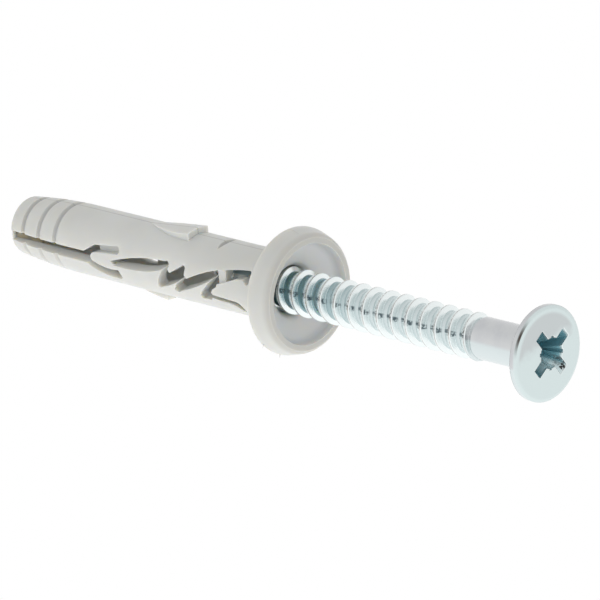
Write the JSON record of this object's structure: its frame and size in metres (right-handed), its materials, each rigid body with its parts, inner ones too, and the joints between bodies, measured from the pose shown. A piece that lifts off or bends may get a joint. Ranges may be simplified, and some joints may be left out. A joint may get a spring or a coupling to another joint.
{
  "type": "nylon hammer fixing",
  "caption": "Hammer-in wall fixing, standing on its screw's head: a slotted, barbed nylon sleeve with a round dished collar, holding a partly driven countersunk screw with a cross recess.",
  "frame": {"origin": "on the floor, in the middle of the face of the screw's head", "axes": "+Z along the fixing, from the head of the screw to the tip of the sleeve; +X to the side with the larger barb; the slotted sides with the teeth face -Y and +Y"},
  "size_m": [0.0146, 0.0146, 0.0806],
  "materials": {
    "nylon": "matt, light warm grey, moulded",
    "zinc_plated_steel": "bright zinc plate, bluish"
  },
  "bodies": {
    "screw": {"hammer_screw": "zinc_plated_steel"},
    "sleeve": {"expansion_sleeve": "nylon"}
  },
  "joints": [
    {"name": "screw_drive", "type": "slide", "parent": "screw", "child": "sleeve", "axis": [0, 0, -1], "range_m": [0, 0.03607]}
  ]
}
